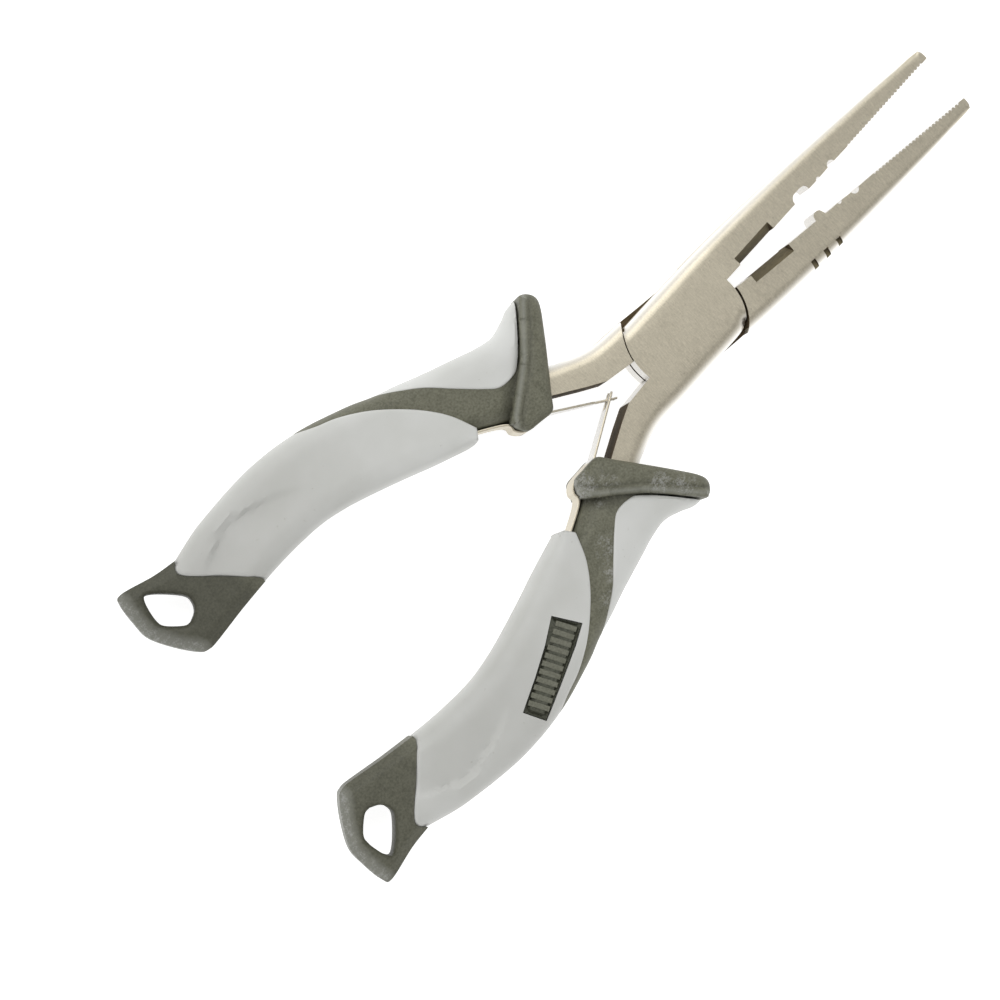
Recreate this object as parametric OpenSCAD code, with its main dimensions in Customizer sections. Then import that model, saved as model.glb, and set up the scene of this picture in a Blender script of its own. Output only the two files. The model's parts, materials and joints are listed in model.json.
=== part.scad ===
// Fishing pliers: long-nose jaws on a flush lap joint, sprung open by two interlocked leaf springs,
// with two-colour moulded grips and lanyard eyes. Lies flat, jaws along +X, jaw half a on the +Y side.
// Both halves are drawn closed, with the pivot at the origin, then turned apart to the sprung-open rest.

/* [Jaws] */
// Pivot to jaw tip
jaw_l = 65.1; // [55:0.1:70]
// Width of each jaw at the tip
tip_w = 2.1; // [1.8:0.1:2.6]
// Half width of the joint across the plates
joint_hw = 7.8; // [7.4:0.1:8.2]
// Thickness of the steel at the joint
joint_t = 10; // [9:0.1:11]
// Thickness of the jaws at the tip
tip_t = 3.4; // [2.6:0.1:4.4]
// Gap between each jaw face and the centre line at the joint
face_gap = 0.3; // [0.2:0.01:0.4]
// Gap between each jaw face and the centre line at the tip
tip_gap = 0.04; // [0.02:0.01:0.1]
// Angle between the jaws at rest, held open by the springs
open_angle = 8.4; // [7:0.1:9]

/* [Lap joint] */
// Radius of each plate's edge on the jaw side
plate_jaw_r = 10.3; // [10:0.1:10.4]
// Radius of each plate's edge on the handle side
plate_tang_r = 11.65; // [11.5:0.05:11.8]
// Gap between a plate edge and the shoulder on the jaw side
jaw_shoulder_gap = 0.4; // [0.3:0.05:0.6]
// Gap between a plate edge and the shoulder on the handle side
tang_shoulder_gap = 0.2; // [0.15:0.05:0.3]
// Gap between the two plates
lap_gap = 0.06; // [0.04:0.01:0.1]
// Radius of the rivet shank
rivet_r = 3.2; // [2.8:0.1:3.6]
// Radius of the rivet heads, ground flush with the plates
rivet_head_r = 4.4; // [4:0.1:4.8]
// Radial clearance of the half that turns on the rivet
rivet_clear = 0.05; // [0.02:0.01:0.08]

/* [Jaw features] */
// Start of the side cutter, from the pivot
cutter_x = 14; // [13:0.1:15]
// Length of the side cutter
cutter_l = 8.9; // [8:0.1:9.5]
// Width of the cutter's bevels
cutter_w = 1.8; // [1.5:0.1:2]
// Centre of the sleeve crimper's anvil and its notch
anvil_x = 30.6; // [30:0.1:31]
// Depth of the anvil's notch
anvil_depth = 1.5; // [1.3:0.1:1.6]
// Places of the round crimping notches
crimp_x = [35, 38.6];
// Radii of the round crimping notches
crimp_r = [0.45, 0.85];
// Start of the serrations
teeth_x = 43; // [42:0.1:46]
// Pitch of the serrations
tooth_pitch = 0.8; // [0.7:0.05:1.2]
// Depth of the serrations
tooth_depth = 0.3; // [0.2:0.05:0.4]
// Place of the first shoulder nick on half b
nick_x = 24; // [23:0.1:25]
// Pitch of the three shoulder nicks
nick_pitch = 3.05; // [2.8:0.05:3.2]

/* [Grips] */
// Thickness of the finger guard
guard_t = 14.4; // [14:0.1:15]
// Thickness of the grips at the neck
neck_t = 12.4; // [12:0.1:13]
// Thickness of the grips at the belly
belly_t = 13.4; // [12.8:0.1:13.8]
// Thickness of the tail at its end
tail_t = 7.6; // [7:0.1:8.4]
// Thickness of the hidden web that carries the panels
web_t = 8.4; // [8:0.1:9]
// Thickness of the badge inlay
badge_t = 0.8; // [0.5:0.1:1.2]
// Opening of the lanyard eye across its short side
eye_w = 5.6; // [5.4:0.1:6]

/* [Springs] */
// Thickness of the spring strip
strip_t = 0.4; // [0.35:0.01:0.45]
// Width of the strip at the guard
strip_w = 7; // [6:0.1:7.4]
// Width of the strip at its tip
strip_tip_w = 4.2; // [4:0.1:4.6]
// Length of the free blade, from the guard to where the two blades cross
blade_l = 10.9; // [10.5:0.05:11.2]
// Width of the tongue of blade b
tongue_w = 1.6; // [1.4:0.1:1.8]
// Clearance of the tongue in the fork of blade a
tongue_clear = 0.35; // [0.3:0.05:0.5]

/* [Hidden] */
$fn = 64;
half_open = open_angle / 2;
plate_tang_a = 180 - asin((joint_hw + 0.1) / plate_tang_r);
rivet_head_h = 1.2;
jaw_end_x = 12;
teeth_n = floor((jaw_l - teeth_x) / tooth_pitch);
tang_t = 5;
over = 1;

// The tail end and the eye
tail_end = [-106.8, -20.5];
eye_at = [-99.9, -18.1];
eye_turn = -27;
eye_l = 8.2;

// Where the spring blade leaves the guard, and the angle that brings it to the centre line at rest
blade_at = [-28.4, -3.45];
blade_drop = -(blade_at.x * sin(half_open) + blade_at.y * cos(half_open));
blade_turn = asin(blade_drop / blade_l) - half_open;
fork_l = 3.2;
bar_w = 3.8;

// Row frame: centre of the bounding box, on the surface the pliers lie on
tip_reach = jaw_l * cos(half_open) - tip_gap * sin(half_open);
tail_reach = tail_end.x * cos(half_open) - tail_end.y * sin(half_open);
origin_x = -(tip_reach + tail_reach) / 2;
origin_z = guard_t / 2;

// Points of an arc about the pivot
function arc(r, from, to, steps = 10) =
    [for (i = [0:steps]) r * [cos(from + (to - from) * i / steps), sin(from + (to - from) * i / steps)]];

// Outline of one forged half: jaw, plate and the tang down to the end hidden in the grip
half_outline = concat(
    [[plate_jaw_r, face_gap], [jaw_l, tip_gap], [jaw_l, tip_w], [56, 3.3], [48, 4.35], [40, 5.25],
     [30, 6.25], [20, 7.05], [10, joint_hw - 0.2], [0, joint_hw]],
    arc(plate_tang_r, plate_tang_a, 185.4),
    [[-14.5, -1.3], [-17.6, -1.5], [-20.8, -2.8], [-30, -7.1], [-62.9, -17.3], [-62.9, -22.9],
     [-30, -13.1], [-24, -10], [-21, -8.9], [-18, -8], [-14.9, -7.6], [-10, -joint_hw], [5, -joint_hw]],
    arc(plate_jaw_r, -43, 0, 8));

// Outline of the whole grip, from the front inner corner of the guard round its outer side
guard_outline = [[-27.3, -4.6], [-26.1, -6.5], [-23.5, -10.4], [-20.5, -15], [-18.4, -18.4],
    [-18.1, -20.4], [-18.9, -21.9], [-20.3, -22.5], [-21.6, -21.6], [-27.6, -14.2], [-35.2, -6.6],
    [-34.9, -5.4], [-34.5, -4.3], [-33.6, -3.75], [-28.8, -3.7], [-27.9, -4]];

// Edge where the thumb panel meets the grey moulding, from the guard backwards
thumb_edge = [[-21.4, -21.5], [-23.8, -17.7], [-27.5, -14], [-29.9, -12.5], [-32.9, -12.3],
    [-35.5, -14], [-39, -16.9], [-43, -20.3], [-47.2, -23], [-50.5, -24.9]];

// Edge where the main panel meets the grey moulding, from the outer side forwards
main_edge = [[-65.5, -28.5], [-61.8, -27], [-57.9, -25.8], [-53.3, -23.5], [-49.2, -20.6],
    [-45.6, -17.4], [-42.7, -13.9], [-40.6, -10], [-40.6, -9.2]];

// Edge where the main panel meets the tail, from the inner side outwards
tail_edge = [[-84.9, -12], [-85.6, -13.3], [-90.4, -17.5], [-94.9, -21.2], [-95.7, -22.8],
    [-94.6, -24.4]];

function reversed(path) = [for (i = [len(path) - 1:-1:0]) path[i]];

// The grey moulding between the two panels: neck, swoosh and outer edge
swoosh_outline = concat([[-26.5, -6.5]], thumb_edge, [[-54.1, -26.1], [-58, -27.1], [-62, -28]],
    main_edge, [[-35.2, -6.5]]);

// The main white panel, on the belly of the grip
main_outline = concat([[-40.9, -8.2], [-42, -7.4], [-43.5, -7.5], [-49.5, -8.9], [-55, -10.4],
    [-61.5, -12], [-66, -12.9], [-70.8, -13.4], [-75.8, -13.2], [-80.5, -12.7]], tail_edge,
    [[-89, -26.3], [-85, -27.2], [-80, -28.1], [-75, -28.7], [-70, -28.8]], main_edge);

// The thumb panel, behind the guard
thumb_outline = concat([[-20.3, -22.4]], thumb_edge, [[-46.5, -24], [-41.4, -22.6], [-34.7, -21],
    [-31.3, -20.2], [-27.7, -19.9], [-24.5, -21], [-22.5, -22]]);

// The tail with its lanyard eye
tail_outline = concat([[-91, -10.8], [-97.5, -9.3], [-99.5, -9.1], [-100.9, -9.7],
    [-103.6, -12.8], [-106.4, -17], tail_end, [-106.4, -24.6], [-105.2, -25.8], [-99, -24.6]],
    reversed(tail_edge));

// The web of the grey moulding under both panels
web_outline = [[-33, -8.4], [-41, -9.3], [-50.5, -13.3], [-55, -14.6], [-66, -16.2], [-78, -16.2],
    [-89.5, -13.4], [-94.5, -18.2], [-96.5, -22.6], [-82, -25], [-68, -25.6], [-55, -23],
    [-43, -18.6], [-33, -16.6], [-26, -17.6], [-25, -14]];

// Half thickness of the grip along its length
grip_side = [[-17, guard_t / 2], [-36, guard_t / 2], [-36.1, neck_t / 2], [-60, belly_t / 2],
    [-76, belly_t / 2], [-96, 5], [-108, tail_t / 2]];

// The badge inlay: a slanted bar with cut-back ends
badge_outline = [[-53.9, -15.9], [-51.7, -20.1], [-55.2, -22.1], [-67.7, -26.4], [-69.2, -23.2], [-63.6, -21]];

// Path of the spring strip's fixed part, round the inner tip of the guard
root_path = [[-50.5, -13.05], [-41, -9.05], [-35.3, -6.25], [-34.9, -4.1], [-33.7, -3.5],
    [-28.75, -3.45]];

// Draws a half's own parts in the place of half a
module place_a() {
    translate([origin_x, 0, origin_z]) rotate([0, 0, half_open]) children();
}

// Draws a half's own parts in the place of half b, which is the same half turned over
module place_b() {
    translate([origin_x, 0, origin_z]) rotate([0, 0, -half_open]) rotate([180, 0, 0]) children();
}

// A flat plate with the given outline, centred on the middle plane
module slab(outline, t) {
    translate([0, 0, -t / 2]) linear_extrude(height = t) polygon(outline);
}

// The solid that a half-thickness profile along X leaves
module side_form(profile) {
    n = len(profile);
    mirrored = [for (i = [n - 1:-1:0]) [profile[i].x, -profile[i].y]];
    translate([0, 60, 0]) rotate([90, 0, 0]) linear_extrude(height = 120)
        polygon(concat(profile, mirrored));
}

// One forged half before its cuts, thick at the joint and thin at the tip and in the grip
module forged_blank() {
    intersection() {
        slab(half_outline, joint_t);
        side_form([[jaw_l + over, tip_t / 2], [jaw_end_x, joint_t / 2], [-30, joint_t / 2],
                   [-34, tang_t / 2], [-64, tang_t / 2]]);
    }
}

// Room for the other half's plate, below the middle plane
module lap_room() {
    h = joint_t / 2 + over;
    translate([0, 0, lap_gap / 2 - h]) {
        intersection() {
            cylinder(r = plate_jaw_r + jaw_shoulder_gap, h = h);
            translate([0, -20, -over]) cube([40, 40, h + 2 * over]);
        }
        intersection() {
            cylinder(r = plate_tang_r + tang_shoulder_gap, h = h);
            translate([-40, -20, -over]) cube([40.01, 40, h + 2 * over]);
        }
    }
}

// Shape of the pivot rivet, grown by a clearance
module rivet_form(clear = 0, extra = 0) {
    h = joint_t / 2;
    rotate_extrude() polygon([[0, -h - extra], [rivet_head_r + clear, -h - extra],
        [rivet_head_r + clear, -h], [rivet_r + clear, -h + rivet_head_h],
        [rivet_r + clear, h - rivet_head_h], [rivet_head_r + clear, h],
        [rivet_head_r + clear, h + extra], [0, h + extra]]);
}

// Space cleared for the side cutter, and the bevelled edge that stands in it
module cutter_room() {
    translate([cutter_x, -over, -joint_t]) cube([cutter_l, cutter_w + over, 2 * joint_t]);
}

module cutter_edge() {
    edge_h = 0.3;
    h = joint_t / 2 - 0.6;
    translate([cutter_x - 0.1, 0, 0]) rotate([90, 0, 90]) linear_extrude(height = cutter_l + 0.2)
        polygon([[tip_gap, -edge_h], [tip_gap, edge_h], [cutter_w + 0.1, h], [cutter_w + 0.1, -h]]);
}

// V grooves across the gripping face
module teeth_cuts() {
    for (i = [0:teeth_n - 1])
        translate([teeth_x + (i + 0.5) * tooth_pitch, 0, 0])
            slab([[-tooth_pitch / 2, -over], [-tooth_pitch / 2 + 0.1, tip_gap], [0, tooth_depth + 0.1],
                  [tooth_pitch / 2 - 0.1, tip_gap], [tooth_pitch / 2, -over]], joint_t);
}

// Round crimping notches
module crimp_cuts() {
    for (i = [0:len(crimp_x) - 1])
        translate([crimp_x[i], 0.1, -joint_t]) cylinder(r = crimp_r[i], h = 2 * joint_t);
}

// Notch for the anvil, and the anvil
module anvil_cut() {
    slab([[anvil_x - 1.8, -over], [anvil_x - 1.8, 0.5], [anvil_x - 1, anvil_depth],
          [anvil_x + 1.2, anvil_depth], [anvil_x + 1.9, 0.9], [anvil_x + 1.9, -over]], 2 * joint_t);
}

module anvil() {
    intersection() {
        slab([[anvil_x - 1.2, 1], [anvil_x - 1.2, -0.7], [anvil_x - 0.7, -1.1], [anvil_x + 0.4, -1.1],
              [anvil_x + 0.9, -0.6], [anvil_x + 0.9, 1]], joint_t);
        side_form([[jaw_l, tip_t / 2], [jaw_end_x, joint_t / 2]]);
    }
}

// Three shallow nicks in the outer shoulder of the jaw
module shoulder_nicks() {
    for (i = [0:2])
        translate([nick_x + i * nick_pitch - 0.5, 5.1 - i * 0.1, -joint_t / 2 - over])
            cube([1, 4, 2.9 + i * 0.2]);
}

// A forged half with its lap, cutter, crimping notches and serrations
module forged_half(bore_clear) {
    difference() {
        forged_blank();
        lap_room();
        rivet_form(bore_clear, over);
        cutter_room();
        crimp_cuts();
        teeth_cuts();
        spring_rivet();
    }
    cutter_edge();
}

module jaw_half_a() {
    color([0.72, 0.70, 0.63]) place_a() difference() {
        forged_half(0);
        anvil_cut();
    }
}

module jaw_half_b() {
    color([0.72, 0.70, 0.63]) place_b() difference() {
        union() {
            forged_half(rivet_clear);
            anvil();
        }
        shoulder_nicks();
    }
}

module pivot_rivet() {
    color([0.68, 0.66, 0.60]) place_a() rivet_form();
}

// A slotted opening with round ends, cut through the tail
module eye_cut() {
    r = eye_w / 2;
    translate([eye_at.x, eye_at.y, 0]) rotate([0, 0, eye_turn]) {
        for (y = [-1, 1])
            translate([0, y * (eye_l / 2 - r), -10]) cylinder(r = r, h = 20);
        translate([-r, -(eye_l / 2 - r), -10]) cube([eye_w, eye_l - eye_w, 20]);
    }
}

// The points of a path moved sideways by d, with mitred corners
function unit(v) = v / norm(v);
function normal(path, i) = let (run = unit(path[i + 1] - path[i])) [-run.y, run.x];
function moved(path, d) = let (last = len(path) - 1)
    [for (i = [0:last])
        let (before = normal(path, max(i - 1, 0)), after = normal(path, min(i, last - 1)))
        path[i] + d * (before + after) / (1 + before * after)];

// A strip that follows a path, standing on edge
module strip(path, t, w) {
    slab(concat(moved(path, t / 2), reversed(moved(path, -t / 2))), w);
}

// Axis of the small rivet through the hidden end of the strip
module at_spring_rivet() {
    run = root_path[1] - root_path[0];
    translate([root_path[0].x + 2.4, root_path[0].y + 2.4 * run.y / run.x, 0])
        rotate([0, 0, atan2(run.y, run.x)]) rotate([90, 0, 0]) children();
}

module spring_rivet() {
    at_spring_rivet() rotate_extrude()
        polygon([[0, -1], [1.6, -1], [1.6, -strip_t / 2], [1, -strip_t / 2], [1, 3], [0, 3]]);
}

module spring_root() {
    difference() {
        strip(root_path, strip_t, strip_w);
        at_spring_rivet() translate([0, 0, -2]) cylinder(r = 1, h = 4);
    }
}

// The grey moulding: guard, neck, swoosh, web and tail, moulded round the tang
module grip_core() {
    difference() {
        union() {
            slab(guard_outline, guard_t);
            intersection() {
                side_form(grip_side);
                union() {
                    slab(swoosh_outline, 2 * guard_t);
                    slab(tail_outline, 2 * guard_t);
                }
            }
            slab(web_outline, web_t);
        }
        forged_blank();
        eye_cut();
        strip(root_path, strip_t, strip_w);
        spring_rivet();
    }
}

module main_panel() {
    difference() {
        intersection() {
            slab(main_outline, 2 * guard_t);
            side_form(grip_side);
        }
        slab(web_outline, web_t);
        strip(root_path, strip_t, strip_w);
        spring_rivet();
        badge();
    }
}

module thumb_panel() {
    difference() {
        slab(thumb_outline, neck_t);
        slab(guard_outline, guard_t);
        slab(web_outline, web_t);
        forged_blank();
    }
}

module badge() {
    translate([0, 0, belly_t / 2 - 0.4 - badge_t])
        linear_extrude(height = badge_t) polygon(badge_outline);
}

// The free blade, drawn along +X from the guard: a fork on blade a, a barred tongue on blade b
module blade_form(forked) {
    reach = blade_l + (forked ? 1.4 : 0);
    tip = forked ? reach : blade_l - fork_l + 0.6;
    difference() {
        rotate([90, 0, 0]) translate([0, 0, -strip_t / 2]) linear_extrude(height = strip_t)
            polygon([[0.1, -strip_w / 2], [tip, -strip_tip_w / 2], [tip, strip_tip_w / 2],
                     [0.1, strip_w / 2]]);
        if (forked)
            translate([reach - fork_l, -over, -tongue_w / 2 - tongue_clear])
                cube([fork_l + over, 2 * over, tongue_w + 2 * tongue_clear]);
    }
    if (!forked) {
        translate([tip - over, -strip_t / 2, -tongue_w / 2])
            cube([blade_l + 1.4 - tip + over, strip_t, tongue_w]);
        translate([blade_l + 1, -strip_t / 2, -bar_w / 2]) cube([0.4, strip_t, bar_w]);
    }
}

module spring_blade(forked) {
    translate([blade_at.x, blade_at.y, 0]) rotate([0, 0, blade_turn]) blade_form(forked);
}

module grip_core_a() { color([0.41, 0.42, 0.37]) place_a() grip_core(); }
module grip_core_b() { color([0.41, 0.42, 0.37]) place_b() grip_core(); }
module main_panel_a() { color([0.80, 0.81, 0.80]) place_a() main_panel(); }
module main_panel_b() { color([0.80, 0.81, 0.80]) place_b() main_panel(); }
module thumb_panel_a() { color([0.80, 0.81, 0.80]) place_a() thumb_panel(); }
module thumb_panel_b() { color([0.80, 0.81, 0.80]) place_b() thumb_panel(); }
module badge_a() { color([0.30, 0.32, 0.29]) place_a() badge(); }
module badge_b() { color([0.30, 0.32, 0.29]) place_b() badge(); }
module spring_root_a() { color([0.76, 0.74, 0.68]) place_a() spring_root(); }
module spring_root_b() { color([0.76, 0.74, 0.68]) place_b() spring_root(); }
module spring_blade_a() { color([0.76, 0.74, 0.68]) place_a() spring_blade(true); }
module spring_blade_b() { color([0.76, 0.74, 0.68]) place_b() spring_blade(false); }
module spring_rivet_a() { color([0.60, 0.59, 0.55]) place_a() spring_rivet(); }
module spring_rivet_b() { color([0.60, 0.59, 0.55]) place_b() spring_rivet(); }

jaw_half_a();
jaw_half_b();
pivot_rivet();
grip_core_a();
grip_core_b();
main_panel_a();
main_panel_b();
thumb_panel_a();
thumb_panel_b();
badge_a();
badge_b();
spring_root_a();
spring_root_b();
spring_blade_a();
spring_blade_b();
spring_rivet_a();
spring_rivet_b();
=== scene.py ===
import json
import math

import bmesh
import bpy
import numpy as np
from mathutils import Matrix, Vector
from mathutils.geometry import delaunay_2d_cdt


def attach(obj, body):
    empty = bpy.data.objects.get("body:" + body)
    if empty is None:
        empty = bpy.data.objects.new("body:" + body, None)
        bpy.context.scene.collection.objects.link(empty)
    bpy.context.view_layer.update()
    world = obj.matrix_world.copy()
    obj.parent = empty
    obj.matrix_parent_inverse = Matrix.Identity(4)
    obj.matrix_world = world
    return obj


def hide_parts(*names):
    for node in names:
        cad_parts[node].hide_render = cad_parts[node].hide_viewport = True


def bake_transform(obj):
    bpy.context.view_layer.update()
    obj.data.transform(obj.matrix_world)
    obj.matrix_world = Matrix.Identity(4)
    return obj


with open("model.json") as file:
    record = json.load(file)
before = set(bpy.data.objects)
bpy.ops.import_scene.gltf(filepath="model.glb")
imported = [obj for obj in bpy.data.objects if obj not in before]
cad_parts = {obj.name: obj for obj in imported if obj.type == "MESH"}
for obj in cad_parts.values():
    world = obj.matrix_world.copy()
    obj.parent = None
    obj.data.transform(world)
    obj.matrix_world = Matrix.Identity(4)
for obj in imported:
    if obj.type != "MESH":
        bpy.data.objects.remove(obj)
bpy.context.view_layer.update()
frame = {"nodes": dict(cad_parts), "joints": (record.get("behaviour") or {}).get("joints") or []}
MM = 0.001


# ---------------------------------------------------------------- Table, light and camera
# The pliers lie on a plain white table under soft light from all round. The camera hangs over the
# handles, a little more than half a metre up, and looks down past the joint.
joint = frame["joints"][0]
pivot = Vector(joint["pos_m"])
eye = pivot + Vector((-118.57, 22.77, 550)) * MM
aim = pivot + Vector((-44.49, 0.44, 0)) * MM
up = Vector((0.685, 0.7259, 0.0628))
back = (eye - aim).normalized()
right = up.cross(back).normalized()

camera = bpy.data.objects.new("camera", bpy.data.cameras.new("camera"))
camera.data.lens = 115.57
camera.data.clip_start = 0.01
camera.matrix_world = (
    Matrix.Translation(eye) @ Matrix((right, back.cross(right), back)).transposed().to_4x4())
bpy.context.scene.collection.objects.link(camera)
bpy.context.scene.camera = camera
bpy.context.scene.view_settings.view_transform = "Standard"


def softbox(name, place, size, watts):
    """A square area light that faces the joint."""
    lamp = bpy.data.objects.new(name, bpy.data.lights.new(name, "AREA"))
    lamp.data.size = size
    lamp.data.energy = watts
    lamp.location = place
    lamp.rotation_euler = (-Vector(place)).to_track_quat("-Z", "Y").to_euler()
    bpy.context.scene.collection.objects.link(lamp)


softbox("key_light", (0.05, 0.45, 0.8), 0.7, 3.6)
softbox("fill_light", (-0.5, -0.4, 0.8), 0.8, 0.6)

world = bpy.data.worlds.new("studio")
world.use_nodes = True
sky = world.node_tree
direction = sky.nodes.new("ShaderNodeTexCoord")
height = sky.nodes.new("ShaderNodeSeparateXYZ")
fade = sky.nodes.new("ShaderNodeMapRange")
for name, value in (("From Min", 0.0), ("From Max", 1.0), ("To Min", 1.35), ("To Max", 0.34)):
    fade.inputs[name].default_value = value
sky.links.new(direction.outputs["Generated"], height.inputs[0])
sky.links.new(height.outputs["Z"], fade.inputs["Value"])
sky.links.new(fade.outputs[0], sky.nodes["Background"].inputs["Strength"])
sky.nodes["Background"].inputs["Color"].default_value = (1.0, 1.0, 1.0, 1)
bpy.context.scene.world = world

table = bpy.data.objects.new("table", bpy.data.meshes.new("table"))
table.data.from_pydata([(-6, -6, 0), (6, -6, 0), (6, 6, 0), (-6, 6, 0)], [], [(0, 1, 2, 3)])
table_paint = bpy.data.materials.new("table_paint")
table_paint.use_nodes = True
paint = table_paint.node_tree.nodes["Principled BSDF"].inputs
paint["Base Color"].default_value = (0.5, 0.5, 0.5, 1)
paint["Roughness"].default_value = 0.9
paint["Emission Color"].default_value = (1, 1, 1, 1)
paint["Emission Strength"].default_value = 0.85
table.data.materials.append(table_paint)
bpy.context.scene.collection.objects.link(table)


# ---------------------------------------------------------------- Forged steel halves
# Each half is one forging of stainless steel: long jaw, lap plate and the tang inside the grip.
# It is ground flat, its outer edges are rolled soft, the cutter and the teeth are milled, and the
# whole is plated satin nickel. Half b is half a turned over.
half_open = math.radians(joint["range_deg"][1] / 2)
SIDES = ("a", "b")


def placed(mesh, side):
    """Moves a mesh drawn in millimetres about the pivot to its own half."""
    turn = Matrix.Rotation(half_open if side == "a" else -half_open, 4, "Z")
    if side == "b":
        turn = turn @ Matrix.Rotation(math.pi, 4, "X")
    mesh.transform(Matrix.Translation(pivot) @ turn @ Matrix.Scale(MM, 4))


def curve(points, step=0.35):
    """A line without corners through the points, sampled evenly."""
    p = np.array(points, float)
    p = np.vstack([2 * p[0] - p[1], p, 2 * p[-1] - p[-2]])
    line = []
    for a, b, c, d in zip(p, p[1:], p[2:], p[3:]):
        n = max(1, round(np.linalg.norm(c - b) / step))
        t = np.linspace(0, 1, n, endpoint=False)[:, None]
        line.append(b + t * (c - a) / 2 + t**2 * (a - 2.5 * b + 2 * c - d / 2)
                    + t**3 * (1.5 * b - a / 2 - 1.5 * c + d / 2))
    return np.vstack(line + [p[-2:-1]])


def straight(points, step=0.35):
    """A broken line through the points, sampled evenly."""
    runs = [curve(pair, step)[:-1] for pair in zip(points, points[1:])]
    return np.vstack(runs + [np.array(points[-1:], float)])


def arc(radius, start, end, centre=(0, 0), steps=24):
    """An arc, its angles in degrees."""
    angles = np.radians(np.linspace(start, end, steps + 1))
    return np.array(centre) + radius * np.column_stack([np.cos(angles), np.sin(angles)])


def part(line, start, end):
    """The stretch of a sampled line between two of its points."""
    i, j = (int(np.argmin(np.linalg.norm(line - p, axis=1))) for p in (start, end))
    return line[i:j + 1] if i < j else line[j:i + 1][::-1]


def loop(*runs):
    """A closed outline from runs that follow each other, anticlockwise."""
    points = np.vstack(runs)
    keep = np.linalg.norm(points - np.roll(points, 1, 0), axis=1) > 0.01
    points = points[keep]
    x, y = points.T
    turning = np.sum(x * np.roll(y, -1) - y * np.roll(x, -1))
    return points if turning > 0 else points[::-1]


def away(points, line):
    """Distance of each point from a sampled line."""
    a, run = line[:-1], np.diff(line, axis=0)
    size = np.maximum((run**2).sum(1), 1e-12)
    nearest = []
    for few in np.array_split(points, max(1, len(points) // 1500)):
        gap = few[:, None] - a
        t = np.clip((gap * run).sum(2) / size, 0, 1)[..., None]
        nearest.append(np.sqrt(((gap - t * run)**2).sum(2).min(1)))
    return np.concatenate(nearest)


def inside(points, loops):
    """Whether each point is inside the outline and outside its holes."""
    hits = np.zeros(len(points), int)
    for ring in loops:
        (x1, y1), (x2, y2) = ring.T, np.roll(ring, -1, 0).T
        rise = np.where(y2 == y1, 1e-12, y2 - y1)
        for k, few in enumerate(np.array_split(np.arange(len(points)), 8)):
            x, y = points[few].T[:, :, None]
            hits[few] += (((y1 > y) != (y2 > y)) & (x < x1 + (y - y1) * (x2 - x1) / rise)).sum(1)
    return hits % 2 == 1


def roll(distance, radius):
    """How far a rolled edge of that radius drops, by the distance from the edge."""
    short = np.clip(radius - distance, 0, radius)
    return radius - np.sqrt(np.maximum(radius**2 - short**2, 0))


def closed(ring):
    return np.vstack([ring, ring[:1]])


def moulding(name, outline, top, rings, step, holes=()):
    """A closed solid with this outline, its two faces alike and top(points) from the mid-plane.
    Rings of points follow the outline at the given distances, and a grid fills what is left."""
    loops = [outline] + [hole[::-1] for hole in holes]
    border = [closed(ring) for ring in loops]
    points = [np.vstack(loops)]
    for ring in loops:
        run = np.roll(ring, -1, 0) - np.roll(ring, 1, 0)
        inward = np.column_stack([-run[:, 1], run[:, 0]]) / np.linalg.norm(run, axis=1)[:, None]
        for d in rings:
            p = ring + inward * d
            near = np.min([away(p, b) for b in border], axis=0)
            points.append(p[(near > 0.96 * d) & inside(p, loops)])
    low, high = outline.min(0), outline.max(0)
    gx, gy = np.meshgrid(np.arange(low[0], high[0], step), np.arange(low[1], high[1], step * 0.87))
    gx[1::2] += step / 2
    grid = np.column_stack([gx.ravel(), gy.ravel()])
    grid = grid[inside(grid, loops)]
    near = np.min([away(grid, b) for b in border], axis=0)
    points.append(grid[near > rings[-1] + step / 2])
    points = np.vstack(points)
    sides, start = [], 0
    for ring in loops:
        n = len(ring)
        sides += [(start + i, start + (i + 1) % n) for i in range(n)]
        start += n
    flat = delaunay_2d_cdt([Vector(p) for p in points], sides, [], 0, 1e-6, False)
    plan = np.array([tuple(v) for v in flat[0]])
    triangles = np.array([f for f in flat[2] if len(f) == 3])
    triangles = triangles[inside(plan[triangles].mean(1), loops)]
    a, b, c = (plan[triangles[:, k]] for k in range(3))
    backwards = np.cross(b - a, c - a) < 0
    triangles[backwards] = triangles[backwards][:, ::-1]
    height = np.maximum(top(plan), 0)
    n = len(plan)
    edges = {(t[k], t[(k + 1) % 3]) for t in triangles.tolist() for k in range(3)}
    walls = [(i + n, j + n, j, i) for i, j in edges
             if (j, i) not in edges and height[i] + height[j] > 1e-4]
    verts = np.vstack([np.column_stack([plan, height]), np.column_stack([plan, -height])])
    faces = triangles.tolist() + (triangles[:, ::-1] + n).tolist() + walls
    return solid(name, verts, faces)


def solid(name, verts, faces):
    """An object with a closed mesh, its doubles merged and its faces outwards."""
    mesh = bpy.data.meshes.new(name)
    mesh.from_pydata([tuple(v) for v in verts], [], faces)
    made = bmesh.new()
    made.from_mesh(mesh)
    bmesh.ops.remove_doubles(made, verts=made.verts, dist=1e-4)
    bmesh.ops.dissolve_degenerate(made, edges=made.edges, dist=1e-5)
    loose = [v for v in made.verts if not v.link_faces]
    bmesh.ops.delete(made, geom=loose, context="VERTS")
    bmesh.ops.recalc_face_normals(made, faces=made.faces)
    made.to_mesh(mesh)
    made.free()
    item = bpy.data.objects.new(name, mesh)
    bpy.context.scene.collection.objects.link(item)
    return item


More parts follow.
